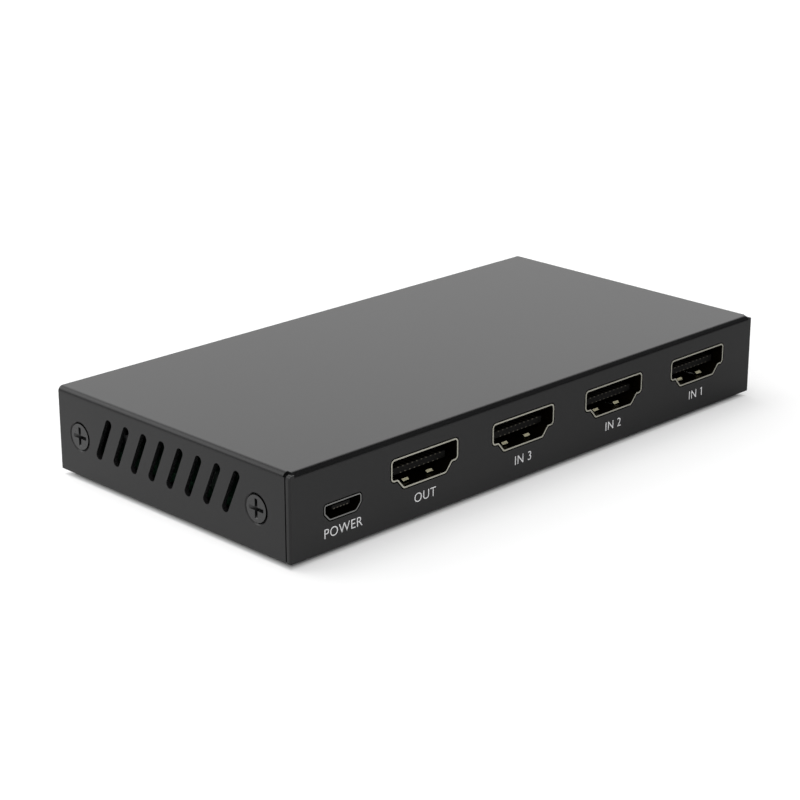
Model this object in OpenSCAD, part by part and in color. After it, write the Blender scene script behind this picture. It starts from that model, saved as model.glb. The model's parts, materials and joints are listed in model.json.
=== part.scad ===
// Video switch box: three inputs, one output.
// The cover, which is the roof, the port wall at -Y and the two side walls, is folded from one sheet of
// steel and open in front. It is screwed to a base plate whose front edge is folded up into the front
// wall at +Y. The board on the base carries four nineteen-contact video sockets and a micro power
// socket, which look out of the port wall, and the select button, the lamps and the remote eye, which
// look out of the front wall. The box stands on z = 0, with the middle of its footprint at the origin.

/* [Case] */
// Width of the case, along the port wall
case_w = 109.7; // [99:0.1:130]
// Depth of the case, from the port wall to the front wall
case_d = 55; // [54:0.5:70]
// Height of the case, without its feet
case_h = 14; // [13:0.5:20]
// Thickness of the cover's sheet
sheet_t = 0.8; // [0.6:0.1:1]
// Inside radius of the cover's folds
fold_r = 0.1; // [0.1:0.05:0.5]
// How far the port wall's fold stops short of the side walls' folds
relief_gap = 0.1; // [0.1:0.05:1]
// How much more the side walls' folds stop short
side_relief_gap = 0.4; // [0.2:0.05:1]
// Open seam between the port wall and a side wall
seam_gap = 0.25; // [0.2:0.05:0.4]
// Rounding of the port wall's upright free edges
edge_r = 0.3; // [0.1:0.05:0.5]
// Drop from the roof to the port wall's upper corners
lip_drop = 0.3; // [0.2:0.05:0.8]
// Rounding of the port wall's upper corners
lip_r = 0.65; // [0.2:0.05:0.8]
// Drop from the roof to the side walls' upper corners beside the port wall
side_lip_drop = 0.65; // [0.3:0.05:1]

/* [Vents] */
// Number of slots in each side wall
vent_count = 8; // [4:1:8]
// Distance from slot to slot
vent_pitch = 4.36; // [3:0.02:4.4]
// Width of a slot
vent_slot_w = 1.5; // [0.8:0.05:1.6]
// Height of a slot, from end to end
vent_slot_h = 7.3; // [4:0.1:8]
// Lean of the slots towards the port wall, in degrees
vent_lean = 25; // [0:1:28]
// Height of the slots' middle above the lower edge of the case
vent_z = 7.8; // [7:0.05:8.5]
// Distance of the row's middle from the port wall
vent_middle = 28.25; // [27:0.05:29]

/* [Case screws] */
// Distance of the rear screws from the port wall
screw_port = 7.35; // [6.4:0.05:7.6]
// Distance of the front screws from the front wall
screw_front = 5.2; // [5:0.05:6.4]
// Height of the screws above the lower edge of the case
screw_z = 6.7; // [6:0.1:7.5]
// Diameter of the screw's shank
screw_d = 3; // [2:0.1:3.2]
// Diameter of the flat countersunk head
screw_head_d = 4.3; // [4:0.1:4.6]
// Diameter of the countersink in the wall
screw_sink_d = 5.1; // [4.8:0.1:5.4]
// Length of the screw
screw_l = 5; // [4:0.1:5.5]
// Length of the cross recess in the head
screw_cross_l = 3.2; // [2:0.1:3.4]
// Width of the cross recess
screw_cross_w = 0.6; // [0.5:0.05:0.8]
// Depth of the cross recess in its middle
screw_cross_h = 1.2; // [0.6:0.1:1.4]

/* [Base plate and feet] */
// Thickness of the base plate's sheet
base_t = 0.8; // [0.6:0.1:1]
// Gap between the base plate and the cover
base_gap = 0.25; // [0.2:0.05:0.6]
// Inside radius of the base plate's folds
base_fold_r = 0.2; // [0.1:0.1:0.4]
// Width of the tabs that take the case screws
tab_w = 7; // [6:0.1:7]
// Width of the slits beside each tab
tab_slit_w = 0.4; // [0.3:0.1:0.6]
// Height of a tab above the middle of its screw
tab_rise = 3.6; // [3:0.1:4]
// Gap between a tab and the wall that is screwed to it
tab_gap = 0.1; // [0.05:0.05:0.2]
// Diameter of the collar that is drawn out of a tab for the thread
collar_d = 4.6; // [4:0.1:5]
// Length of the collar
collar_l = 1.2; // [0.8:0.1:1.4]
// Diameter of a rubber foot
foot_d = 8; // [6:0.5:10]
// Height of a rubber foot
foot_h = 1; // [0.8:0.1:2]
// Bevel round the sole of a foot
foot_bevel = 0.3; // [0.1:0.1:0.6]
// Distance of a foot's middle from the walls
foot_inset = 9; // [7:0.5:14]

/* [Board] */
// Thickness of the board
board_t = 1.6; // [1.2:0.1:1.8]
// Height of the standoffs that lift the board off the base plate
standoff_h = 2.2; // [1.8:0.1:3]
// Diameter of a standoff
standoff_d = 5; // [4.4:0.1:5.4]
// Diameter of the spigot that is pressed through the base plate
spigot_d = 4.2; // [3.8:0.1:4.3]
// Diameter of a board screw
board_screw_d = 2.5; // [2:0.1:3]
// Diameter of a board screw's head
board_head_d = 4.6; // [4.2:0.1:5]
// Height of a board screw's head
board_head_h = 1.6; // [1.2:0.1:2]
// Gap between the board and the side walls
board_side_gap = 3; // [2.8:0.1:4]
// Gap between the board and the port wall
board_port_gap = 0.4; // [0.3:0.1:1]
// Distance of the standoffs from the side walls
standoff_side = 8.5; // [8:0.1:9.5]
// Distance of the rear standoffs from the port wall
standoff_port = 15.6; // [15.6:0.1:17]
// Distance of the front standoffs from the front wall
standoff_front = 7.5; // [6.5:0.1:9]

/* [Video sockets] */
// Distance of the output socket from the left wall
video_first = 27.7; // [26:0.1:28.5]
// Distance of the last input socket from the right wall
video_last = 15.19; // [15:0.01:18]
// Height of the opening's middle above the board
video_rise = 3.46; // [3.2:0.02:3.8]
// Width of the opening
video_w = 14; // [13.9:0.05:14.2]
// Height of the opening
video_h = 4.7; // [4.55:0.05:4.9]
// Height of the upright sides of the opening
video_side_h = 3.15; // [2.9:0.05:3.3]
// Width of the opening at the inner ends of its two shelves
video_shelf_w = 11.6; // [11.2:0.1:12]
// Width of the opening's floor
video_floor_w = 9; // [8.6:0.1:9.6]
// Rounding of the opening's corners
video_r = 0.5; // [0.35:0.05:0.6]
// Wall of the socket's shell
video_shell_t = 0.25; // [0.2:0.05:0.4]
// Length of the shell
video_shell_l = 11; // [10:0.1:11.5]
// Depth of the tongue's tip behind the port wall's face
tongue_set = 1.3; // [1:0.1:2]
// Width of the tongue
tongue_w = 11.2; // [10.4:0.1:11.4]
// Thickness of the tongue
tongue_t = 1.1; // [0.9:0.05:1.2]
// Distance between neighbouring contacts, counting both rows
contact_pitch = 0.5; // [0.45:0.01:0.52]
// Width of a contact
contact_w = 0.3; // [0.2:0.02:0.4]
// Thickness of a contact
contact_t = 0.16; // [0.1:0.02:0.2]
// Distance of a spring finger from the middle of the socket
finger_x = 2.6; // [2:0.1:3]
// Width of a spring finger
finger_w = 1.3; // [1:0.1:1.8]
// How far a finger reaches into the opening
finger_reach = 0.3; // [0.2:0.05:0.6]

/* [Power socket] */
// Distance of the power socket from the left wall
power_x = 10.5; // [10:0.1:12.5]
// Height of the opening's middle above the board
power_rise = 1.45; // [1.42:0.01:1.8]
// Width of the opening
power_w = 7.1; // [6.9:0.05:7.2]
// Height of the opening
power_h = 2.25; // [1.9:0.05:2.3]
// Height of the upright sides of the opening
power_side_h = 1.2; // [1:0.05:1.3]
// Width of the opening's floor
power_floor_w = 5.2; // [5:0.1:5.6]
// Rounding of the opening's corners
power_r = 0.3; // [0.2:0.05:0.4]
// Wall of the shell
power_shell_t = 0.2; // [0.15:0.05:0.3]
// Length of the shell
power_shell_l = 5.4; // [5:0.1:6]

/* [Front controls] */
// Height of the button, the lamps and the remote eye above the board
front_rise = 3.4; // [3.2:0.1:4]
// Distance of the select button from the left wall
button_x = 19; // [18:0.5:22]
// Diameter of the select button
button_d = 5; // [4.4:0.1:5.4]
// How far the button stands out of the front wall
button_out = 1; // [0.6:0.1:2.5]
// Travel of the button
button_travel = 0.4; // [0.2:0.05:0.6]
// Distance of the first lamp from the left wall
lamp_first = 37; // [32:0.5:38]
// Distance from lamp to lamp
lamp_pitch = 9; // [7:0.5:10]
// Number of lamps: one for power and one for each input
lamp_count = 4; // [1:1:4]
// Diameter of a lamp
lamp_d = 3; // [2.4:0.1:3.2]
// How far a lamp stands out of the front wall
lamp_out = 0.7; // [0.3:0.1:1.2]
// Distance of the remote eye from the right wall
eye_side = 28; // [22:0.5:30]
// Diameter of the remote eye's window
eye_d = 5; // [4:0.1:5.6]

/* [Fits] */
// Clearance round a socket's shell in the port wall
port_gap = 0.2; // [0.15:0.05:0.3]
// Clearance round a button, lamp or window in the front wall
hole_gap = 0.2; // [0.15:0.05:0.3]
// Clearance round a screw in its hole
screw_gap = 0.1; // [0.05:0.05:0.2]
// Clearance round a pin or leg in the board
pin_gap = 0.1; // [0.05:0.05:0.15]
// Clearance of a pressed fit
press_gap = 0.02; // [0.01:0.01:0.05]
// Clearance round the button's moving plunger
slide_gap = 0.15; // [0.1:0.05:0.2]

/* [Hidden] */
$fn = 64;
arc_steps = 5;   // straight pieces in a rounded corner
cut = 1;         // how far a cutting solid runs past what it cuts

// Heights, from the table up
z_case = foot_h;
z_roof = z_case + case_h;
z_base = z_case + base_t;
z_board = z_base + standoff_h + board_t;
z_video = z_board + video_rise;
z_power = z_board + power_rise;
z_front = z_board + front_rise;

// Places across the case
x_left = -case_w / 2;
y_port = -case_d / 2;
y_front = case_d / 2;
y_front_in = y_front - base_t;
fold_out_r = sheet_t + fold_r;
relief = fold_out_r + relief_gap;
side_relief = relief + side_relief_gap;
roof_w = case_w - 2 * relief;
y_roof = y_port + side_relief;
y_side = y_port + sheet_t + seam_gap;
tab_face_x = case_w / 2 - sheet_t - tab_gap;
y_screws = [y_port + screw_port, y_front - screw_front];
base_relief = base_t + base_fold_r;
base_w = case_w - 2 * (sheet_t + base_gap);
base_overlap = 0.2;     // how far a fold's section runs into the flat plate

// Sockets, measured from the left wall
video_pitch = (case_w - video_first - video_last) / 3;
output_x = video_first;
input_3_x = output_x + video_pitch;
input_2_x = input_3_x + video_pitch;
input_1_x = input_2_x + video_pitch;
video_contact_n = 19;
video_block_l = 4.5;    // length of the insulator's block behind the tongue
video_leg_w = 1.4;
video_leg_y = [3.2, 8.6];    // middles of the shell's legs behind the face
leg_tip = 0.5;          // how far legs and pins reach below the board
tail_run = 0.6;         // how far the contacts run out behind the insulator
tail_foot = 0.8;        // length of the contacts' soldered feet
finger_tip_y = 1.55;    // spring fingers, measured behind the face
finger_bend_y = 1.9;
finger_root_y = 6.2;
finger_slit = 0.25;
power_contact_n = 5;
power_contact_pitch = 0.65;
power_contact_w = 0.32;
power_block_l = 1.4;
power_tongue_w = 3.6;
power_tongue_t = 0.6;
power_tongue_z = 0.3;
power_tongue_set = 0.5;
power_leg_w = 0.9;
power_leg_y = 2.6;

video_opening = socket_opening(video_w, video_h, video_side_h, video_shelf_w, video_floor_w, video_r);
power_opening = socket_opening(power_w, power_h, power_side_h, power_w, power_floor_w, power_r);

// Front controls, measured back from the front wall's inner face
flange_gap = 0.1;
flange_t = 0.6;
flange_w = 0.8;             // how far a flange reaches past its hole
button_clear = 0.3;         // what is left between the button's flange and the switch when it is pressed
button_bevel = 0.4;
plunger_d = 3;
plunger_in = 1.2;           // length of the plunger inside the switch
switch_face = flange_gap + flange_t + button_travel + button_clear;
switch_size = [6.2, 3.6, 6.4];
switch_leg_x = 2.25;
switch_leg_y = [0.8, 2.8];
switch_leg_in = 1;          // how far a leg reaches up into the switch
lamp_flange_t = 1;
lamp_flange_w = 0.4;
lamp_back = 3;              // how far the lamp's back lies behind the wall
pin_t = 0.5;                // side of a square pin
lamp_pin_pitch = 1.27;
lamp_pin_run = 1.5;
eye_size = [5.2, 2.6, 6.6];
eye_out = 0.2;              // how far the window stands out of the wall
eye_dome_d = 4.4;
eye_x = case_w - eye_side;
eye_clear = 0.3;            // gap between the receiver's dome and its window
eye_set = flange_gap + flange_t + eye_clear + eye_dome_d / 2;
eye_pin_pitch = 1.27;
eye_lift = 0.4;             // gap between the receiver and the board

// Parts on the board, measured from the left wall and the port wall
switch_chip_at = [62, 27];
control_chip_at = [34, 33];
regulator_at = [20, 22];
inductor_at = [28.5, 22];
capacitors_at = [[13, 31], [19.5, 31]];
crystal_at = [45, 31];
chip_t = 1.2;
chip_lift = 0.1;
chip_edge = 0.25;
lead_t = 0.15;
lead_shoulder = 0.4;
lead_foot = 0.6;
switch_chip_w = 10;
switch_chip_pins = 16;
switch_chip_pitch = 0.5;
switch_chip_lead_w = 0.22;
control_chip_size = [5, 4.4];
control_chip_pins = 8;
control_chip_pitch = 0.6;
control_chip_lead_w = 0.25;
regulator_size = [6.5, 3.5];
regulator_pitch = 2.3;
regulator_lead_w = 0.7;
regulator_tab_w = 3;
inductor_w = 5;
inductor_h = 3;
inductor_r = 0.8;
inductor_ring_d = [3.6, 4.2];    // groove round the coil's core
inductor_ring_h = 0.2;
can_d = 5;
can_h = 5.2;
can_groove_z = 0.9;
can_groove_r = 0.3;
can_groove_h = 0.2;              // depth of the groove
can_base_w = 5.3;
can_base_h = 0.9;
can_base_corner = 1.2;
crystal_l = 10;
crystal_d = 3.8;
crystal_h = 3.2;
crystal_flange_w = 0.4;
crystal_flange_h = 0.5;
chip_capacitor = [1.6, 0.8, 0.8];
chip_capacitor_pitch = 3;
chip_capacitor_gap = 2.2;        // distance from the switch chip

// Colours used more than once
black_plastic = [0.1, 0.1, 0.1];
tin = [0.75, 0.75, 0.75];
gold = [0.85, 0.7, 0.35];
chip_black = [0.09, 0.09, 0.1];

// Polygons with rounded corners, grown outlines and thin bent strips

function xy(p) = [p.x, p.y];
function unit(v) = v / norm(v);
function reversed(list) = [for (i = [len(list) - 1 : -1 : 0]) list[i]];

// Points of the outline whose corners are [x, y, radius]
function rounded(corners) = [for (i = [0 : len(corners) - 1]) each corner_arc(corners, i)];

function corner_arc(corners, i) =
    let (n = len(corners), p = xy(corners[i]), r = corners[i].z)
    r == 0 ? [p] :
    let (
        u = unit(xy(corners[(i + n - 1) % n]) - p),
        v = unit(xy(corners[(i + 1) % n]) - p),
        turn = 180 - acos(u * v),
        middle = p + unit(u + v) * r / cos(turn / 2),
        first = unit(p + u * r * tan(turn / 2) - middle),
        last = unit(p + v * r * tan(turn / 2) - middle)
    )
    [for (k = [0 : arc_steps]) let (s = k / arc_steps)
        middle + r * (first * sin(turn * (1 - s)) + last * sin(turn * s)) / sin(turn)];

// The same corners with every side moved outward by g; the corners run anticlockwise
function grown(corners, g) = [
    for (i = [0 : len(corners) - 1])
        let (
            n = len(corners),
            p = xy(corners[i]),
            a = unit(p - xy(corners[(i + n - 1) % n])),
            b = unit(xy(corners[(i + 1) % n]) - p),
            na = [a.y, -a.x],
            nb = [b.y, -b.x],
            q = p + g * (na + nb) / (1 + na * nb)
        )
        [q.x, q.y, max(0, corners[i].z + (cross(a, b) > 0 ? g : -g))]
];

// Outline of a bent strip of thickness t whose middle follows the path
function strip(path, t) = concat(strip_side(path, t / 2), reversed(strip_side(path, -t / 2)));

function strip_side(path, d) = [
    for (i = [0 : len(path) - 1])
        let (
            j = max(i, 1),
            k = min(i, len(path) - 2),
            a = unit(path[j] - path[j - 1]),
            b = unit(path[k + 1] - path[k]),
            na = [-a.y, a.x],
            nb = [-b.y, b.x]
        )
        path[i] + d * (na + nb) / (1 + na * nb)
];

// Corners of a socket's opening about its middle, wide side up; a shelf as wide as the sides has no step
function socket_opening(w, h, side_h, shelf_w, floor_w, r) =
    let (
        right = concat(
            [[floor_w / 2, -h / 2, r]],
            shelf_w < w ? [[shelf_w / 2, h / 2 - side_h, r]] : [],
            [[w / 2, h / 2 - side_h, r], [w / 2, h / 2, r]]
        )
    )
    concat(right, [for (p = reversed(right)) [-p.x, p.y, p.z]]);

// Ways of standing flat outlines up

// An outline drawn in x and z, thickened from y0 to y1
module upright(y0, y1) {
    translate([0, y1, 0]) rotate([90, 0, 0]) linear_extrude(y1 - y0) children();
}

// An outline drawn in y and z, thickened from x0 to x1
module sideways(x0, x1) {
    translate([x0, 0, 0]) rotate([90, 0, 90]) linear_extrude(x1 - x0) children();
}

// Strips of the given width across, side by side, whose path is drawn in y and z
module strip_row(count, pitch, width, path, t) {
    for (k = [0 : count - 1]) {
        x = (k - (count - 1) / 2) * pitch;
        sideways(x - width / 2, x + width / 2) polygon(strip(path, t));
    }
}

// Section of a folded sheet: legs along +X and +Y, with the outer corner at the origin
module folded(t, r, x_leg, y_leg) {
    translate([t + r, 0]) square([x_leg - t - r, t]);
    translate([0, t + r]) square([t, y_leg - t - r]);
    translate([t + r, t + r]) intersection() {
        difference() {
            circle(t + r);
            circle(r);
        }
        translate([-t - r, -t - r]) square(t + r);
    }
}

// Places where pieces repeat

module at_screws() {
    for (sx = [-1, 1], y = y_screws)
        translate([sx * case_w / 2, y, z_case + screw_z]) rotate([0, -sx * 90, 0]) children();
}

module at_standoffs() {
    for (sx = [-1, 1], y = [y_port + standoff_port, y_front - standoff_front])
        translate([sx * (case_w / 2 - standoff_side), y, 0]) children();
}

module at_video(x) {
    translate([x_left + x, y_port, z_video]) children();
}

module at_every_video() {
    for (x = [output_x, input_3_x, input_2_x, input_1_x]) at_video(x) children();
}

module at_power() {
    translate([x_left + power_x, y_port, z_power]) children();
}

module at_board(place) {
    translate([x_left + place.x, y_port + place.y, z_board]) children();
}

// A place on the front wall's inner face, turned so that +Z points out of the wall
module at_front(x) {
    translate([x_left + x, y_front_in, z_front]) rotate([-90, 0, 0]) children();
}

module at_lamps() {
    for (k = [0 : lamp_count - 1]) at_front(lamp_first + k * lamp_pitch) children();
}

// Case

// A wall that faces -Y at y = -face and runs from x = ends[0] to ends[1]. Its fold runs along `fold` and
// reaches `leg` into the roof. Past the fold the wall has flat upper corners, the lips.
module folded_wall(face, ends, fold, leg, drop, upper_r, free_r) {
    lip_top = z_roof - drop;
    intersection() {
        translate([0, -face, z_case]) linear_extrude(lip_top - z_case) polygon(rounded([
            [ends[0], 0, free_r], [ends[1], 0, free_r], [ends[1], sheet_t, 0], [ends[0], sheet_t, 0]
        ]));
        upright(-face, sheet_t - face) difference() {
            polygon(rounded([
                [ends[0], z_case, 0], [ends[1], z_case, 0],
                [ends[1], lip_top, upper_r], [ends[0], lip_top, upper_r]
            ]));
            translate([fold[0], z_roof - relief]) square([fold[1] - fold[0], relief]);
        }
    }
    sideways(fold[0], fold[1])
        translate([-face, z_roof]) mirror([0, 1]) folded(sheet_t, fold_r, leg, relief);
}

module vent_slot() {
    straight = (vent_slot_h - vent_slot_w) / cos(vent_lean);
    rotate(vent_lean) {
        square([vent_slot_w, straight], center = true);
        for (s = [-1, 1]) translate([0, s * straight / 2]) circle(d = vent_slot_w);
    }
}

module vents() {
    sideways(-case_w / 2 - cut, case_w / 2 + cut)
        for (k = [0 : vent_count - 1])
            translate([y_port + vent_middle + (k - (vent_count - 1) / 2) * vent_pitch, z_case + vent_z])
                vent_slot();
}

// The countersink is wider than the head, which seats at its inner edge
module case_screw_hole() {
    hole_d = screw_d + 2 * screw_gap;
    translate([0, 0, -cut]) cylinder(d = screw_sink_d, h = cut);
    cylinder(d1 = screw_sink_d, d2 = hole_d, h = sheet_t);
    cylinder(d = hole_d, h = sheet_t + cut);
}

module cover() color([0.2, 0.2, 0.21]) difference() {
    union() {
        translate([-roof_w / 2, y_roof, z_roof - sheet_t]) cube([roof_w, y_front - y_roof, sheet_t]);
        folded_wall(case_d / 2, [-case_w / 2, case_w / 2], [-roof_w / 2, roof_w / 2],
                    side_relief, lip_drop, lip_r, edge_r);
        for (side = [0, 1]) mirror([side, 0, 0]) rotate(90)
            folded_wall(case_w / 2, [y_side, y_front], [y_roof, y_front], relief, side_lip_drop, 0, 0);
    }
    vents();
    at_screws() case_screw_hole();
    at_every_video() upright(-cut, sheet_t + cut)
        polygon(rounded(grown(video_opening, video_shell_t + port_gap)));
    at_power() upright(-cut, sheet_t + cut)
        polygon(rounded(grown(power_opening, power_shell_t + port_gap)));
}

module cover_screws() color([0.14, 0.14, 0.15]) at_screws() difference() {
    union() {
        cylinder(d1 = screw_head_d, d2 = screw_d, h = sheet_t);
        cylinder(d = screw_d, h = screw_l);
    }
    cross_recess();
}

// Room for the shanks of the case screws
module screw_room() {
    at_screws() cylinder(d = screw_d + 2 * screw_gap, h = screw_l + cut);
}

// A driver's cross, whose arms grow shallower towards their ends
module cross_recess() intersection() {
    union() for (turn = [0, 90]) rotate(turn)
        cube([screw_cross_l, screw_cross_w, 2 * screw_cross_h], center = true);
    union() {
        translate([0, 0, -cut]) cylinder(d = screw_cross_l, h = cut);
        cylinder(d1 = screw_cross_l, d2 = screw_cross_w, h = screw_cross_h);
    }
}

module base_plate() color([0.24, 0.24, 0.25]) difference() {
    union() {
        base_y0 = y_port + sheet_t + base_gap;
        base_y1 = y_front - base_relief - base_overlap;
        translate([0, 0, z_case]) linear_extrude(base_t) difference() {
            translate([-base_w / 2, base_y0]) square([base_w, base_y1 - base_y0]);
            for (sx = [-1, 1], y = y_screws)
                translate([sx * (tab_face_x + cut - base_relief / 2), y])
                    square([base_relief + 2 * cut, tab_w + 2 * tab_slit_w], center = true);
        }
        sideways(-base_w / 2, base_w / 2) translate([y_front, z_case]) mirror([1, 0])
            folded(base_t, base_fold_r, base_relief + base_overlap, case_h - sheet_t - base_gap);
        for (side = [0, 1], y = y_screws) mirror([side, 0, 0])
            translate([-tab_face_x, y, z_case]) screw_tab();
    }
    screw_room();
    at_standoffs() translate([0, 0, z_case - cut])
        cylinder(d = spigot_d + 2 * press_gap, h = base_t + 2 * cut);
    at_front(button_x) front_hole(button_d);
    at_lamps() front_hole(lamp_d);
    at_front(eye_x) front_hole(eye_d);
}

module front_hole(d) {
    translate([0, 0, -cut]) cylinder(d = d + 2 * hole_gap, h = base_t + 2 * cut);
}

// A tab folded up from the base plate, with a drawn collar for the screw's thread
module screw_tab() {
    upright(-tab_w / 2, tab_w / 2)
        folded(base_t, base_fold_r, base_relief + cut + tab_gap, screw_z + tab_rise);
    translate([base_t, 0, screw_z]) rotate([0, 90, 0]) cylinder(d = collar_d, h = collar_l);
}

module rubber_feet() color([0.08, 0.08, 0.08])
    for (sx = [-1, 1], sy = [-1, 1])
        translate([sx * (case_w / 2 - foot_inset), sy * (case_d / 2 - foot_inset), 0]) {
            cylinder(d1 = foot_d - 2 * foot_bevel, d2 = foot_d, h = foot_bevel);
            translate([0, 0, foot_bevel]) cylinder(d = foot_d, h = foot_h - foot_bevel);
        }

// Board and what holds it

module standoffs() color([0.72, 0.7, 0.62]) at_standoffs() difference() {
    union() {
        translate([0, 0, z_case]) cylinder(d = spigot_d, h = base_t);
        translate([0, 0, z_base]) cylinder(d = standoff_d, h = standoff_h);
    }
    translate([0, 0, z_case - cut])
        cylinder(d = board_screw_d + 2 * screw_gap, h = base_t + standoff_h + 2 * cut);
}

module board_screws() color([0.35, 0.35, 0.36]) at_standoffs() difference() {
    union() {
        translate([0, 0, z_base]) cylinder(d = board_screw_d, h = standoff_h + board_t);
        translate([0, 0, z_board]) cylinder(d = board_head_d, h = board_head_h);
    }
    translate([0, 0, z_board + board_head_h]) mirror([0, 0, 1]) cross_recess();
}

module circuit_board() color([0.05, 0.16, 0.11]) difference() {
    board_w = case_w - 2 * (sheet_t + board_side_gap);
    board_y0 = y_port + sheet_t + board_port_gap;
    board_y1 = y_front_in - switch_face;
    translate([-board_w / 2, board_y0, z_board - board_t]) cube([board_w, board_y1 - board_y0, board_t]);
    at_standoffs() translate([0, 0, z_base])
        cylinder(d = board_screw_d + 2 * screw_gap, h = z_board + cut - z_base);
    screw_room();
    at_every_video() video_legs(pin_gap, cut);
    at_power() power_legs(pin_gap, cut);
    at_front(button_x) switch_legs(pin_gap, cut);
    at_lamps() lamp_pins(pin_gap, cut);
    at_front(eye_x) eye_pins(pin_gap, cut);
}

// Video sockets

module video_legs(gap, deeper) {
    drop = video_rise + board_t + leg_tip + deeper;
    for (sx = [-1, 1], y = video_leg_y)
        translate([sx * (video_w + video_shell_t) / 2, y, -drop / 2])
            cube([video_shell_t + 2 * gap, video_leg_w + 2 * gap, drop], center = true);
}

// A finger sprung out of the shell's floor, drawn in y and z
module spring_finger() {
    wall_z = -(video_h + video_shell_t) / 2;
    path = [
        [finger_root_y + video_shell_t, wall_z], [finger_root_y, wall_z],
        [finger_bend_y, wall_z + finger_reach + video_shell_t / 2],
        [finger_tip_y, wall_z + finger_reach / 2]
    ];
    polygon(strip(path, video_shell_t));
}

module video_shell(x) color([0.78, 0.72, 0.5]) at_video(x) {
    difference() {
        upright(0, video_shell_l) difference() {
            polygon(rounded(grown(video_opening, video_shell_t)));
            polygon(rounded(video_opening));
        }
        for (sx = [-1, 1])
            translate([sx * finger_x, (finger_tip_y + finger_root_y) / 2 - finger_slit, 0])
                cube([finger_w + 2 * finger_slit, finger_root_y - finger_tip_y + 2 * finger_slit,
                      video_h + 4 * video_shell_t], center = true);
    }
    for (sx = [-1, 1], sz = [0, 1]) mirror([0, 0, sz])
        sideways(sx * finger_x - finger_w / 2, sx * finger_x + finger_w / 2) spring_finger();
    difference() {
        video_legs(0, 0);
        upright(-cut, video_shell_l + cut) polygon(rounded(video_opening));
    }
}

// Path of a contact in y and z: along the tongue, out of the block and down to the board
function contact_path(side) =
    let (z = side * (tongue_t - contact_t) / 2, foot_z = contact_t / 2 - video_rise,
         back = video_shell_l + tail_run)
    [[tongue_set, z], [back, z], [back, foot_z], [back + tail_foot, foot_z]];

module video_contacts_form() {
    upper = ceil(video_contact_n / 2);
    strip_row(upper, 2 * contact_pitch, contact_w, contact_path(1), contact_t);
    strip_row(video_contact_n - upper, 2 * contact_pitch, contact_w, contact_path(-1), contact_t);
}

module video_insulator(x) color(black_plastic) at_video(x) difference() {
    block_y = video_shell_l - video_block_l;
    union() {
        upright(block_y, video_shell_l) polygon(rounded(grown(video_opening, -press_gap)));
        translate([-tongue_w / 2, tongue_set, -tongue_t / 2])
            cube([tongue_w, video_shell_l - tongue_set, tongue_t]);
    }
    video_contacts_form();
}

module video_contacts(x) color(gold) at_video(x) video_contacts_form();

module output_shell() video_shell(output_x);
module output_insulator() video_insulator(output_x);
module output_contacts() video_contacts(output_x);
module input_1_shell() video_shell(input_1_x);
module input_1_insulator() video_insulator(input_1_x);
module input_1_contacts() video_contacts(input_1_x);
module input_2_shell() video_shell(input_2_x);
module input_2_insulator() video_insulator(input_2_x);
module input_2_contacts() video_contacts(input_2_x);
module input_3_shell() video_shell(input_3_x);
module input_3_insulator() video_insulator(input_3_x);
module input_3_contacts() video_contacts(input_3_x);

// Power socket

module power_legs(gap, deeper) {
    drop = power_rise + board_t + leg_tip + deeper;
    for (sx = [-1, 1])
        translate([sx * (power_w + power_shell_t) / 2, power_leg_y, -drop / 2])
            cube([power_shell_t + 2 * gap, power_leg_w + 2 * gap, drop], center = true);
}

module power_shell() color([0.7, 0.7, 0.7]) at_power() {
    upright(0, power_shell_l) difference() {
        polygon(rounded(grown(power_opening, power_shell_t)));
        polygon(rounded(power_opening));
    }
    difference() {
        power_legs(0, 0);
        upright(-cut, power_shell_l + cut) polygon(rounded(power_opening));
    }
}

module power_contacts_form() {
    z = power_tongue_z - (power_tongue_t - contact_t) / 2;
    foot_z = contact_t / 2 - power_rise;
    back = power_shell_l + tail_run;
    path = [[power_tongue_set, z], [back, z], [back, foot_z], [back + tail_foot, foot_z]];
    strip_row(power_contact_n, power_contact_pitch, power_contact_w, path, contact_t);
}

module power_insulator() color(black_plastic) at_power() difference() {
    union() {
        upright(power_shell_l - power_block_l, power_shell_l)
            polygon(rounded(grown(power_opening, -press_gap)));
        translate([-power_tongue_w / 2, power_tongue_set, power_tongue_z - power_tongue_t / 2])
            cube([power_tongue_w, power_shell_l - power_tongue_set, power_tongue_t]);
    }
    power_contacts_form();
}

module power_contacts() color(gold) at_power() power_contacts_form();

// Parts on the board

// A moulded package: a block with a bevelled top
module package(w, d) {
    translate([0, 0, chip_lift]) linear_extrude(chip_t - chip_edge) square([w, d], center = true);
    translate([0, 0, chip_lift + chip_t - chip_edge]) linear_extrude(chip_edge)
        square([w - 2 * chip_edge, d - 2 * chip_edge], center = true);
}

// A row of gull-wing leads along the side of a package that is d deep
module gull_leads(d, count, pitch, width) {
    root = d / 2;
    knee = root + lead_shoulder;
    root_z = chip_lift + chip_t / 2;
    foot_z = lead_t / 2;
    path = [[root, root_z], [knee, root_z], [knee, foot_z], [knee + lead_foot, foot_z]];
    strip_row(count, pitch, width, path, lead_t);
}

module switch_chip() color(chip_black) at_board(switch_chip_at)
    package(switch_chip_w, switch_chip_w);

module switch_chip_leads() color(tin) at_board(switch_chip_at)
    for (turn = [0 : 90 : 270]) rotate(turn)
        gull_leads(switch_chip_w, switch_chip_pins, switch_chip_pitch, switch_chip_lead_w);

module control_chip() color(chip_black) at_board(control_chip_at)
    package(control_chip_size.x, control_chip_size.y);

module control_chip_leads() color(tin) at_board(control_chip_at)
    for (turn = [0, 180]) rotate(turn)
        gull_leads(control_chip_size.y, control_chip_pins, control_chip_pitch, control_chip_lead_w);

module regulator() color(chip_black) at_board(regulator_at)
    package(regulator_size.x, regulator_size.y);

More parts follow.
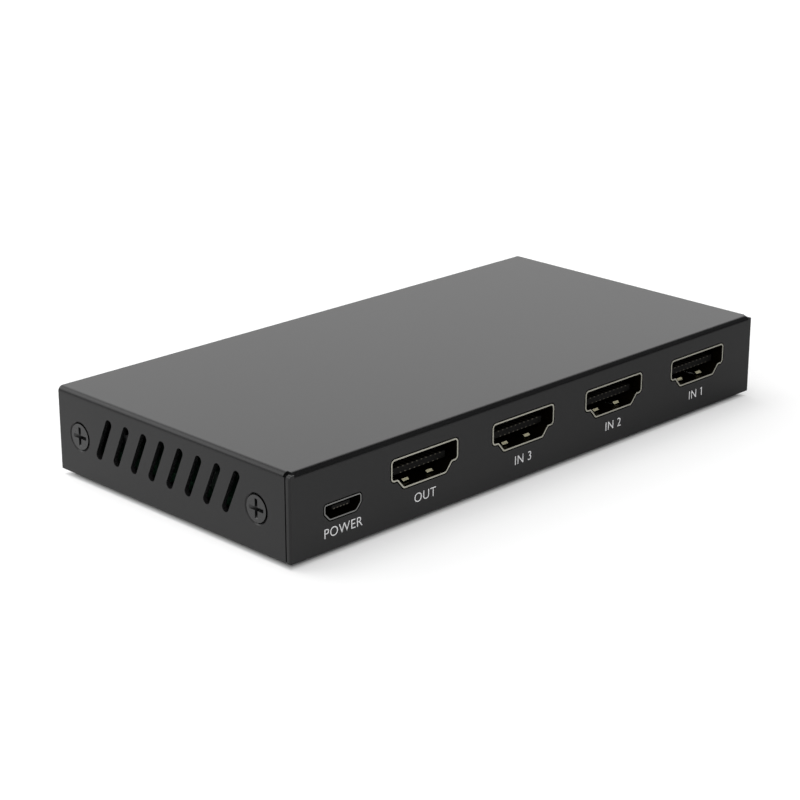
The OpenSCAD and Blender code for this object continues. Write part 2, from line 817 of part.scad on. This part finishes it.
// Three leads on one side and the wide tab on the other
module regulator_leads() color(tin) at_board(regulator_at) {
    gull_leads(regulator_size.y, 3, regulator_pitch, regulator_lead_w);
    rotate(180) gull_leads(regulator_size.y, 1, regulator_pitch, regulator_tab_w);
}

module inductor() color([0.25, 0.25, 0.26]) at_board(inductor_at) difference() {
    linear_extrude(inductor_h) polygon(rounded([for (p = [[-1, -1], [1, -1], [1, 1], [-1, 1]])
        [p.x * inductor_w / 2, p.y * inductor_w / 2, inductor_r]]));
    translate([0, 0, inductor_h - inductor_ring_h]) difference() {
        cylinder(d = inductor_ring_d[1], h = cut);
        cylinder(d = inductor_ring_d[0], h = cut);
    }
}

module capacitor_cans() color([0.8, 0.8, 0.82]) for (place = capacitors_at) at_board(place)
    translate([0, 0, can_base_h]) difference() {
        cylinder(d = can_d, h = can_h);
        translate([0, 0, can_groove_z]) rotate_extrude()
            translate([can_d / 2 + can_groove_r - can_groove_h, 0]) circle(can_groove_r);
    }

// A square base with two corners cut off
module capacitor_bases() color(black_plastic) for (place = capacitors_at) at_board(place) {
    half = can_base_w / 2;
    short = half - can_base_corner;
    linear_extrude(can_base_h) polygon([
        [-half, -half], [half, -half], [half, short], [short, half], [-short, half], [-half, short]
    ]);
}

module crystal() color([0.78, 0.78, 0.8]) at_board(crystal_at) {
    straight = crystal_l - crystal_d;
    linear_extrude(crystal_flange_h)
        square([crystal_l + 2 * crystal_flange_w, crystal_d + 2 * crystal_flange_w], center = true);
    linear_extrude(crystal_h) {
        square([straight, crystal_d], center = true);
        for (s = [-1, 1]) translate([s * straight / 2, 0]) circle(d = crystal_d);
    }
}

module chip_capacitors() color([0.6, 0.5, 0.38]) at_board(switch_chip_at)
    for (turn = [0 : 90 : 270], k = [-1 : 1]) rotate(turn)
        translate([k * chip_capacitor_pitch - chip_capacitor.x / 2,
                   switch_chip_w / 2 + chip_capacitor_gap, 0]) cube(chip_capacitor);

// Front controls: +Z points out of the front wall, -Y points up and +Y points down to the board

module button_cap() color([0.13, 0.13, 0.14]) at_front(button_x) difference() {
    bottom = -flange_gap - flange_t;
    top = base_t + button_out;
    union() {
        translate([0, 0, bottom]) cylinder(d = button_d + 2 * (hole_gap + flange_w), h = flange_t);
        translate([0, 0, bottom]) cylinder(d = button_d, h = top - button_bevel - bottom);
        translate([0, 0, top - button_bevel])
            cylinder(d1 = button_d, d2 = button_d - 2 * button_bevel, h = button_bevel);
    }
    translate([0, 0, bottom - cut])
        cylinder(d = plunger_d + 2 * press_gap, h = cut + flange_gap + flange_t + base_t);
}

module button_plunger() color([0.85, 0.82, 0.74]) at_front(button_x)
    translate([0, 0, -switch_face - plunger_in])
        cylinder(d = plunger_d, h = switch_face + plunger_in + base_t - press_gap);

module button_switch() color(black_plastic) at_front(button_x) difference() {
    half_h = switch_size.z / 2;
    translate([-switch_size.x / 2, -half_h, -switch_face - switch_size.y])
        cube([switch_size.x, half_h + front_rise, switch_size.y]);
    translate([0, 0, -switch_face - plunger_in - button_travel - button_clear])
        cylinder(d = plunger_d + 2 * slide_gap, h = plunger_in + button_travel + button_clear + cut);
    switch_legs(press_gap, 0);
}

// Square pins down through the board, given as [x, distance behind the wall] and a start above the axis
module board_pins(places, start, gap, deeper) {
    drop = front_rise - start + board_t + leg_tip + deeper;
    for (p = places)
        translate([p.x, start + drop / 2, -p.y])
            cube([pin_t + 2 * gap, drop, pin_t + 2 * gap], center = true);
}

module switch_legs(gap, deeper) {
    places = [for (sx = [-1, 1], y = switch_leg_y) [sx * switch_leg_x, switch_face + y]];
    board_pins(places, front_rise - switch_leg_in, gap, deeper);
}

module button_switch_legs() color(tin) at_front(button_x) switch_legs(0, 0);

module lamps() color([0.9, 0.9, 0.92]) at_lamps() {
    top = base_t + lamp_out;
    translate([0, 0, -lamp_back]) {
        cylinder(d = lamp_d + 2 * lamp_flange_w, h = lamp_flange_t);
        cylinder(d = lamp_d, h = lamp_back + top - lamp_d / 2);
    }
    translate([0, 0, top - lamp_d / 2]) sphere(d = lamp_d);
}

module lamp_pins(gap, deeper) {
    places = [for (sx = [-1, 1]) [sx * lamp_pin_pitch, lamp_back + lamp_pin_run]];
    board_pins(places, -pin_t / 2, gap, deeper);
}

module lamp_leads() color(tin) at_lamps() {
    lamp_pins(0, 0);
    for (sx = [-1, 1])
        translate([sx * lamp_pin_pitch, 0, -lamp_back - lamp_pin_run / 2])
            cube([pin_t, pin_t, lamp_pin_run], center = true);
}

module eye_window() color([0.2, 0.03, 0.04]) at_front(eye_x) {
    top = base_t + eye_out;
    translate([0, 0, -flange_gap - flange_t]) {
        cylinder(d = eye_d + 2 * (hole_gap + flange_w), h = flange_t);
        cylinder(d = eye_d, h = flange_gap + flange_t + top);
    }
}

module eye_receiver() color([0.06, 0.06, 0.08]) at_front(eye_x) {
    translate([-eye_size.x / 2, -eye_size.z / 2, -eye_set - eye_size.y])
        cube([eye_size.x, eye_size.z / 2 + front_rise - eye_lift, eye_size.y]);
    translate([0, 0, -eye_set]) intersection() {
        sphere(d = eye_dome_d);
        cylinder(d = eye_dome_d + cut, h = eye_dome_d);
    }
}

module eye_pins(gap, deeper) {
    places = [for (k = [-1 : 1]) [k * eye_pin_pitch, eye_set + eye_size.y / 2]];
    board_pins(places, front_rise - eye_lift, gap, deeper);
}

module eye_leads() color(tin) at_front(eye_x) eye_pins(0, 0);

cover();
base_plate();
cover_screws();
rubber_feet();
standoffs();
board_screws();
circuit_board();
output_shell();
output_insulator();
output_contacts();
input_1_shell();
input_1_insulator();
input_1_contacts();
input_2_shell();
input_2_insulator();
input_2_contacts();
input_3_shell();
input_3_insulator();
input_3_contacts();
power_shell();
power_insulator();
power_contacts();
switch_chip();
switch_chip_leads();
control_chip();
control_chip_leads();
regulator();
regulator_leads();
inductor();
capacitor_cans();
capacitor_bases();
crystal();
chip_capacitors();
button_cap();
button_plunger();
button_switch();
button_switch_legs();
lamps();
lamp_leads();
eye_window();
eye_receiver();
eye_leads();
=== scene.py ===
"""Looks of the video switch box: materials, printed words, floor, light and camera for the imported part."""

import json
import math

import bmesh
import bpy
from mathutils import Matrix, Vector


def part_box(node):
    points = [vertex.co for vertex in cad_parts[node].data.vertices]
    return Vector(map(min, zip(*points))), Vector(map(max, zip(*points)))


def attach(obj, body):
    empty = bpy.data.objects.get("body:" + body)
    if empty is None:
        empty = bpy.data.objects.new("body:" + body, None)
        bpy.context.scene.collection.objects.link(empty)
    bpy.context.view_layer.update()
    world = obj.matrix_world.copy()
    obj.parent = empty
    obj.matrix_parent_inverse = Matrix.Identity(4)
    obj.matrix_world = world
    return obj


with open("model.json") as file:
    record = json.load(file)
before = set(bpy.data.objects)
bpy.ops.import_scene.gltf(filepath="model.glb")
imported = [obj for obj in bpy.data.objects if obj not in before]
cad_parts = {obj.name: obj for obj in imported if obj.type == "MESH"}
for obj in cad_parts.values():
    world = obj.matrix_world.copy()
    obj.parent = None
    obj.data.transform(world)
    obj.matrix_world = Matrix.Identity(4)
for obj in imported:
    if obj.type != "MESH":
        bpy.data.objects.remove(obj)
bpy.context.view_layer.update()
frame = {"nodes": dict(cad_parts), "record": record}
nodes = frame["nodes"]

MM = 0.001


# Node graphs

class Graph:
    """A material's or world's node tree, with short calls for the nodes used here."""

    def __init__(self, owner):
        owner.use_nodes = True
        self.tree = owner.node_tree
        self.tree.nodes.clear()

    def add(self, kind, **settings):
        node = self.tree.nodes.new("ShaderNode" + kind)
        for key, value in settings.items():
            setattr(node, key, value)
        return node

    def feed(self, socket, value):
        """A socket takes another node's output, or a constant that is set on it."""
        if isinstance(value, bpy.types.NodeSocket):
            self.tree.links.new(value, socket)
        else:
            socket.default_value = value

    def math(self, operation, a, b=0.0, c=0.0):
        node = self.add("Math", operation=operation)
        for socket, value in zip(node.inputs, (a, b, c)):
            self.feed(socket, value)
        return node.outputs[0]

    def axes(self, vector):
        """The x, y and z outputs of a vector."""
        node = self.add("SeparateXYZ")
        self.feed(node.inputs[0], vector)
        return node.outputs

    def place(self):
        """Place on the object, in metres, in the part's own frame."""
        return self.add("TexCoord").outputs["Object"]

    def noise(self, size, detail=2.0, stretch=(1, 1, 1)):
        """Noise from 0 to 1, with blotches of about `size` metres, drawn out along the axes by `stretch`."""
        mapping = self.add("Mapping")
        mapping.inputs["Scale"].default_value = [1 / (size * s) for s in stretch]
        self.feed(mapping.inputs["Vector"], self.place())
        node = self.add("TexNoise")
        node.inputs["Scale"].default_value = 1.0
        node.inputs["Detail"].default_value = detail
        self.feed(node.inputs["Vector"], mapping.outputs[0])
        return node.outputs["Fac"]

    def ramp(self, value, *stops):
        """Colour ramp with (position, colour) stops."""
        node = self.add("ValToRGB")
        elements = node.color_ramp.elements
        while len(elements) < len(stops):
            elements.new(0.5)
        for element, (position, colour) in zip(elements, stops):
            element.position = position
            element.color = (*colour, 1)
        self.feed(node.inputs[0], value)
        return node.outputs["Color"]

    def mix(self, share, a, b):
        """Colour a where the share is 0, colour b where it is 1."""
        node = self.add("Mix", data_type="RGBA")
        self.feed(node.inputs[0], share)
        self.feed(node.inputs[6], a)
        self.feed(node.inputs[7], b)
        return node.outputs[2]

    def span(self, value, source, target):
        """Maps the range `source` to the range `target`, and holds the ends beyond it."""
        node = self.add("MapRange")
        for name, number in zip(("From Min", "From Max", "To Min", "To Max"), (*source, *target)):
            node.inputs[name].default_value = number
        self.feed(node.inputs["Value"], value)
        return node.outputs["Result"]

    def bump(self, height, depth):
        node = self.add("Bump")
        node.inputs["Strength"].default_value = 1.0
        node.inputs["Distance"].default_value = depth
        self.feed(node.inputs["Height"], height)
        return node.outputs["Normal"]


# Materials

CHARCOAL = (0.0098, 0.0098, 0.0101)
NOISE_SPREAD = (0.3, 0.7)               # where nearly all of the noise lies
RIM_LEAN = 0.9                          # a shell's rim faces out of the socket more than this
TIP_LEAN, TIP_SPREAD = 0.5, 0.2         # how far its finger tips do
# painted highlight: a pale, non-metal colour on the spring finger tips stands in for their glint
TIP_HIGHLIGHT_COLOUR = (0.56, 0.53, 0.37, 1)
# painted shade: a dark colour on the shell walls that run back into the socket, where little light gets in
SOCKET_SHADE_COLOUR = (0.045, 0.033, 0.015, 1)
TRACK_COLOUR = (0.012, 0.05, 0.024, 1)
TRACK_PATTERN = {"Scale": 900.0, "Mortar Size": 0.045, "Brick Width": 1.9, "Row Height": 0.55}


def scaled(colour, factor):
    return [channel * factor for channel in colour]


def finish(name, colour, vary, blotch, rough, grain, depth, stretch=(1, 1, 1), tint=None, **constants):
    """A procedural finish. The colour drifts by the share `vary` over blotches, the roughness follows a
    fine grain, and the grain is raised by `depth`. Sizes are in metres. `tint` may change the look further,
    and the constants are set on the shader's own sockets."""
    material = bpy.data.materials.new(name)
    graph = Graph(material)
    shader = graph.add("BsdfPrincipled")
    graph.feed(graph.add("OutputMaterial").inputs["Surface"], shader.outputs[0])
    drift = graph.noise(blotch, detail=3.0, stretch=stretch)
    fine = graph.noise(grain, detail=1.0, stretch=stretch)
    low, high = NOISE_SPREAD
    base = graph.ramp(drift, (low, scaled(colour, 1 - vary)), (high, scaled(colour, 1 + vary)))
    graph.feed(shader.inputs["Base Color"], tint(graph, shader, base) if tint else base)
    graph.feed(shader.inputs["Roughness"], graph.span(fine, NOISE_SPREAD, rough))
    graph.feed(shader.inputs["Normal"], graph.bump(fine, depth))
    for key, value in constants.items():
        shader.inputs[key.replace("_", " ")].default_value = value
    return material


def rim_with_painted_tips_and_shade(graph, shader, base):
    """Bright plating on a shell's rim, which faces out of the socket, a painted highlight in a pale colour
    on the tips of its spring fingers, which lean out of it, and painted dark shade on the walls that run
    back into the socket."""
    lean = graph.math("ABSOLUTE", graph.axes(graph.add("NewGeometry").outputs["True Normal"])[1])
    rim = graph.math("GREATER_THAN", lean, RIM_LEAN)
    tip = graph.math("COMPARE", lean, TIP_LEAN, TIP_SPREAD)
    graph.feed(shader.inputs["Metallic"], graph.math("SUBTRACT", 1.0, tip))
    # plating colour on the rim, painted highlight on the finger tips, painted shade on the walls behind
    return graph.mix(rim, graph.mix(tip, SOCKET_SHADE_COLOUR, TIP_HIGHLIGHT_COLOUR), base)


def tracks(graph, shader, base):
    """Copper tracks that show paler through the board's dark green mask. The shader is left as it is."""
    brick = graph.add("TexBrick", offset=0.37, squash=0.6)
    for key, value in TRACK_PATTERN.items():
        brick.inputs[key].default_value = value
    graph.feed(brick.inputs["Vector"], graph.place())
    return graph.mix(brick.outputs["Fac"], base, TRACK_COLOUR)


materials = {
    "cover_paint": finish(
        "charcoal_powder_coat", CHARCOAL, vary=0.06, blotch=25 * MM, rough=(0.2, 0.26),
        grain=0.12 * MM, depth=0.001 * MM, Specular_IOR_Level=0.25),
    "base_paint": finish(
        "charcoal_base_coat", CHARCOAL, vary=0.1, blotch=18 * MM, rough=(0.24, 0.32),
        grain=0.15 * MM, depth=0.001 * MM, Specular_IOR_Level=0.25),
    "black_screw": finish(
        "black_oxide", (0.009, 0.009, 0.0095), vary=0.2, blotch=0.8 * MM, rough=(0.24, 0.34),
        grain=0.1 * MM, depth=0.002 * MM),
    "foot_rubber": finish(
        "black_rubber", (0.018, 0.018, 0.018), vary=0.15, blotch=2 * MM, rough=(0.7, 0.85),
        grain=0.2 * MM, depth=0.02 * MM),
    "nickel_brass": finish(
        "nickelled_brass", (0.6, 0.56, 0.44), vary=0.06, blotch=1 * MM, rough=(0.25, 0.38),
        grain=0.08 * MM, depth=0.001 * MM, stretch=(1, 1, 0.15), Metallic=1.0),
    "zinc_screw": finish(
        "black_zinc", (0.12, 0.12, 0.125), vary=0.08, blotch=0.8 * MM, rough=(0.25, 0.4),
        grain=0.08 * MM, depth=0.002 * MM, Metallic=1.0),
    "board_laminate": finish(
        "green_mask", (0.004, 0.022, 0.011), vary=0.12, blotch=6 * MM, rough=(0.3, 0.45),
        grain=0.3 * MM, depth=0.004 * MM, tint=tracks),
    "gold_shell": finish(
        "pale_gold_plate", (0.44, 0.43, 0.37), vary=0.05, blotch=1.5 * MM, rough=(0.3, 0.4),
        grain=0.1 * MM, depth=0.001 * MM, tint=rim_with_painted_tips_and_shade),
    "nickel_shell": finish(
        "nickel_plate", (0.2, 0.2, 0.195), vary=0.06, blotch=1 * MM, rough=(0.3, 0.4),
        grain=0.1 * MM, depth=0.001 * MM, tint=rim_with_painted_tips_and_shade),
    "socket_plastic": finish(
        "black_moulding", (0.0025, 0.0023, 0.002), vary=0.15, blotch=1.5 * MM, rough=(0.5, 0.62),
        grain=0.12 * MM, depth=0.004 * MM, Specular_IOR_Level=0.09),
    "gold_contact": finish(
        "gold_flash", (0.1, 0.092, 0.075), vary=0.1, blotch=0.6 * MM, rough=(0.45, 0.55),
        grain=0.08 * MM, depth=0.001 * MM, Metallic=1.0),
    "chip_epoxy": finish(
        "chip_epoxy", (0.014, 0.014, 0.016), vary=0.15, blotch=2 * MM, rough=(0.55, 0.7),
        grain=0.15 * MM, depth=0.006 * MM),
    "tin_lead": finish(
        "tin_plate", (0.55, 0.55, 0.56), vary=0.1, blotch=0.5 * MM, rough=(0.3, 0.45),
        grain=0.08 * MM, depth=0.002 * MM, Metallic=1.0),
    "ferrite": finish(
        "pressed_ferrite", (0.05, 0.05, 0.055), vary=0.2, blotch=0.7 * MM, rough=(0.6, 0.8),
        grain=0.15 * MM, depth=0.012 * MM),
    # painted shade: the cans' aluminium is darker than bare metal, which keeps their glint through the vents
    # low
    "can_aluminium": finish(
        "drawn_aluminium", (0.4, 0.4, 0.41), vary=0.05, blotch=0.8 * MM, rough=(0.25, 0.4),
        grain=0.1 * MM, depth=0.002 * MM, stretch=(1, 1, 6), Metallic=1.0),
    "base_plastic": finish(
        "black_base_moulding", (0.013, 0.013, 0.013), vary=0.15, blotch=1.5 * MM, rough=(0.5, 0.65),
        grain=0.12 * MM, depth=0.005 * MM),
    "crystal_can": finish(
        "drawn_steel_can", (0.6, 0.6, 0.62), vary=0.06, blotch=1 * MM, rough=(0.22, 0.36),
        grain=0.1 * MM, depth=0.002 * MM, stretch=(4, 1, 1), Metallic=1.0),
    "ceramic": finish(
        "fired_ceramic", (0.33, 0.24, 0.15), vary=0.12, blotch=0.5 * MM, rough=(0.55, 0.7),
        grain=0.08 * MM, depth=0.004 * MM),
    "button_plastic": finish(
        "button_moulding", (0.016, 0.016, 0.017), vary=0.12, blotch=1.5 * MM, rough=(0.42, 0.55),
        grain=0.12 * MM, depth=0.006 * MM),
    "plunger_plastic": finish(
        "cream_moulding", (0.66, 0.6, 0.47), vary=0.05, blotch=1 * MM, rough=(0.4, 0.5),
        grain=0.12 * MM, depth=0.003 * MM),
    "lamp_lens": finish(
        "milky_lens", (0.82, 0.84, 0.86), vary=0.03, blotch=1 * MM, rough=(0.16, 0.26),
        grain=0.3 * MM, depth=0.002 * MM, Transmission_Weight=0.55, IOR=1.5),
    "eye_lens": finish(
        "dark_red_lens", (0.05, 0.005, 0.007), vary=0.1, blotch=1.5 * MM, rough=(0.1, 0.18),
        grain=0.3 * MM, depth=0.001 * MM, Coat_Weight=0.4),
    "eye_epoxy": finish(
        "black_epoxy", (0.01, 0.01, 0.016), vary=0.1, blotch=1.5 * MM, rough=(0.15, 0.25),
        grain=0.2 * MM, depth=0.002 * MM),
}
for part in frame["record"]["subparts"]:
    mesh = nodes[part["node"]].data
    mesh.materials.clear()
    mesh.materials.append(materials[part["material_slot"]])


# Printed words under the sockets

PRINT_CAP = 1.45 * MM       # height of a capital letter
PRINT_T = 0.02 * MM         # thickness of the ink
PRINT_SINK = 0.25           # share of the ink's thickness that has soaked into the paint
POWER_RISE = 2.1 * MM       # baselines above the lower edge of the case
VIDEO_RISE = 2.45 * MM
LETTER_SPACING = 1.08       # of the built-in type's own
LETTER_THINNING = 0.006     # taken off the letters all round, in the type's units
FIGURE_ONE_W = 0.2          # a little more than the width of the type's figure 1, which is a bare stroke
FLAG_REACH = 1.5            # the flag that it gets, in widths of the stroke: how far it reaches out
FLAG_DROP = 1.2             # from the figure's top to the upper end of the flag's tip
FLAG_FOOT = 2.0             # from the top to the lower end of the tip
FLAG_ROOT = 1.1             # from the top to where the flag's lower side meets the stroke

ink = finish("pale_ink", (0.86, 0.86, 0.87), vary=0.04, blotch=0.6 * MM, rough=(0.45, 0.6),
             grain=0.06 * MM, depth=0.001 * MM)


def lettering(words):
    """Mesh of the words in the built-in sans type, one of its units thick, centred on x = 0."""
    curve = bpy.data.curves.new("lettering", "FONT")
    curve.body = words
    curve.align_x = "CENTER"
    curve.space_character = LETTER_SPACING
    curve.offset = -LETTER_THINNING
    curve.extrude = 0.5
    text = bpy.data.objects.new("lettering", curve)
    bpy.context.scene.collection.objects.link(text)
    bpy.context.view_layer.update()
    mesh = bpy.data.meshes.new_from_object(text.evaluated_get(bpy.context.evaluated_depsgraph_get()))
    bpy.data.objects.remove(text)
    bpy.data.curves.remove(curve)
    return mesh


def capital_height():
    mesh = lettering("H")
    ys = [vert.co.y for vert in mesh.vertices]
    bpy.data.meshes.remove(mesh)
    return max(ys) - min(ys)


def flag_figure_one(mesh):
    """Redraws a closing figure 1 with a flag, as one outline."""
    form = bmesh.new()
    form.from_mesh(mesh)
    right = max(vert.co.x for vert in form.verts)
    stroke = [vert for vert in form.verts if vert.co.x > right - FIGURE_ONE_W]
    left, low, back = [min(along) for along in zip(*(vert.co for vert in stroke))]
    top = max(vert.co.y for vert in stroke)
    front = max(vert.co.z for vert in stroke)
    w = right - left
    tip = left - FLAG_REACH * w
    outline = [(left, low), (right, low), (right, top), (left, top), (tip, top - FLAG_DROP * w),
               (tip, top - FLAG_FOOT * w), (left, top - FLAG_ROOT * w)]
    bmesh.ops.delete(form, geom=stroke, context="VERTS")
    face = form.faces.new([form.verts.new((x, y, back)) for x, y in outline])
    raised = bmesh.ops.extrude_face_region(form, geom=[face])["geom"]
    raised = [item for item in raised if isinstance(item, bmesh.types.BMVert)]
    bmesh.ops.translate(form, verts=raised, vec=(0, 0, front - back))
    bmesh.ops.recalc_face_normals(form, faces=form.faces)
    form.to_mesh(mesh)
    form.free()


def printed(name, words, socket, rise):
    """Words in pale ink on the port wall, under the middle of a socket. Their baseline is `rise` above the
    lower edge of the case."""
    lo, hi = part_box(socket)
    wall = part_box("cover")[0]
    size = PRINT_CAP / capital_height()
    mesh = lettering(words)
    if words.endswith("1"):
        flag_figure_one(mesh)
    turn = Matrix.Rotation(math.radians(90), 4, "X")
    shrink = Matrix.Diagonal((size, size, PRINT_T, 1))
    shift = Matrix.Translation(((lo.x + hi.x) / 2, wall.y - PRINT_T * (0.5 - PRINT_SINK), wall.z + rise))
    mesh.transform(shift @ turn @ shrink)
    mesh.materials.append(ink)
    label = bpy.data.objects.new(name, mesh)
    bpy.context.scene.collection.objects.link(label)
    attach(label, "case")


printed("print_power", "POWER", "power_shell", POWER_RISE)
printed("print_output", "OUT", "output_shell", VIDEO_RISE)
for number in (1, 2, 3):
    printed("print_input_%d" % number, "IN %d" % number, "input_%d_shell" % number, VIDEO_RISE)


# Floor, light and camera

FLOOR_HALF = 6.0            # half of the floor's width, in metres
FLOOR_DROP = 0.02 * MM      # keeps the floor just clear of the feet's soles
FLOOR_COLOUR = (0.6, 0.6, 0.6, 1)
FLOOR_GLOW = 0.45           # what the floor adds for the camera and in reflections, so that it shows white
UNDER_EDGE = 1.5 * MM       # the glow fades out over this width under the edges of the case

BACKDROP = 1.58             # strength of the lit backdrop
BACKDROP_LEVELS = ((0.12, 0.4), (0.4, 1), (0.64, 1), (0.74, 0.06))      # by the height of the view
GAP_LEVEL = 0.07            # what is left of the backdrop in its dark gap
GAP_ENDS_Y = (0.1, 0.4)     # the views over which the gap ends, towards the back and towards the left
GAP_ENDS_X = (0.05, 0.35)

# The camera that was fitted to the photo's corners and edges
CAMERA_PLACE = (-0.246171, -0.242692, 0.12784)
CAMERA_DOWN = 19.4368       # degrees below the horizon
CAMERA_TURN = -44.7903      # degrees from +Y, anticlockwise
CAMERA_LENS = 97.43         # millimetres
CAMERA_SENSOR = 36


def studio_floor():
    """A white floor with the box's shadow. What the walls mirror of its glow fades towards the right in
    front, so that the port wall looks even from end to end."""
    mesh = bpy.data.meshes.new("floor")
    h, z = FLOOR_HALF, -FLOOR_DROP
    mesh.from_pydata([(-h, -h, z), (h, -h, z), (h, h, z), (-h, h, z)], [], [(0, 1, 2, 3)])
    floor = bpy.data.objects.new("floor", mesh)
    bpy.context.scene.collection.objects.link(floor)
    material = bpy.data.materials.new("pale_floor")
    graph = Graph(material)
    path = graph.add("LightPath").outputs
    x, y = graph.axes(graph.place())[:2]
    far_x, far_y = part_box("cover")[1].xy
    even = graph.math("MAXIMUM", graph.span(y, (-far_y, far_y), (0, 1)),
                      graph.span(x, (-far_x, far_x), (1, 0)))
    mirrored = graph.math("MULTIPLY", path["Is Glossy Ray"], even)
    seen = graph.math("MAXIMUM", path["Is Camera Ray"],
                      graph.math("MAXIMUM", mirrored, path["Is Transmission Ray"]))
    past_x = graph.math("SUBTRACT", graph.math("ABSOLUTE", x), far_x)
    past_y = graph.math("SUBTRACT", graph.math("ABSOLUTE", y), far_y)
    uncovered = graph.span(graph.math("MAXIMUM", past_x, past_y), (-UNDER_EDGE, 0), (0, FLOOR_GLOW))
    diffuse = graph.add("BsdfDiffuse")
    diffuse.inputs["Color"].default_value = FLOOR_COLOUR
    glow = graph.add("Emission")
    graph.feed(glow.inputs["Strength"], graph.math("MULTIPLY", seen, uncovered))
    both = graph.add("AddShader")
    graph.feed(both.inputs[0], diffuse.outputs[0])
    graph.feed(both.inputs[1], glow.outputs[0])
    graph.feed(graph.add("OutputMaterial").inputs["Surface"], both.outputs[0])
    mesh.materials.append(material)


def studio_world():
    """A white backdrop round the box, brighter towards its top, under a dark ceiling. A dark gap on the
    right in front is what the port wall's fold mirrors."""
    world = bpy.data.worlds.new("studio")
    graph = Graph(world)
    x, y, z = graph.axes(graph.add("TexCoord").outputs["Generated"])
    backdrop = graph.ramp(z, *((height, (level,) * 3) for height, level in BACKDROP_LEVELS))
    lit = graph.math("MAXIMUM", graph.span(y, GAP_ENDS_Y, (GAP_LEVEL, 1)),
                     graph.span(x, GAP_ENDS_X, (1, GAP_LEVEL)))
    background = graph.add("Background")
    graph.feed(background.inputs["Color"], backdrop)
    graph.feed(background.inputs["Strength"], graph.math("MULTIPLY", lit, BACKDROP))
    graph.feed(graph.add("OutputWorld").inputs["Surface"], background.outputs[0])
    bpy.context.scene.world = world


def softbox(name, place, size, watts):
    """A square area lamp that points at the middle of the box."""
    lamp = bpy.data.lights.new(name, "AREA")
    lamp.shape = "SQUARE"
    lamp.size = size
    lamp.energy = watts
    holder = bpy.data.objects.new(name, lamp)
    holder.location = place
    holder.rotation_euler = Vector(place).to_track_quat("Z", "Y").to_euler()
    bpy.context.scene.collection.objects.link(holder)


def photo_camera():
    data = bpy.data.cameras.new("camera")
    data.sensor_fit = "HORIZONTAL"
    data.sensor_width = CAMERA_SENSOR
    data.lens = CAMERA_LENS
    data.clip_start = 10 * MM
    camera = bpy.data.objects.new("camera", data)
    camera.location = CAMERA_PLACE
    camera.rotation_euler = (math.radians(90 - CAMERA_DOWN), 0, math.radians(CAMERA_TURN))
    bpy.context.scene.collection.objects.link(camera)
    bpy.context.scene.camera = camera


studio_floor()
studio_world()
softbox("key", place=(-0.45, 0.8, 0.8), size=0.9, watts=2.6)
softbox("overhead", place=(-0.15, 0.3, 1.3), size=0.9, watts=8.5)
softbox("fill", place=(-0.55, -0.9, 0.55), size=0.7, watts=2.0)
photo_camera()
bpy.context.scene.view_settings.view_transform = "Standard"
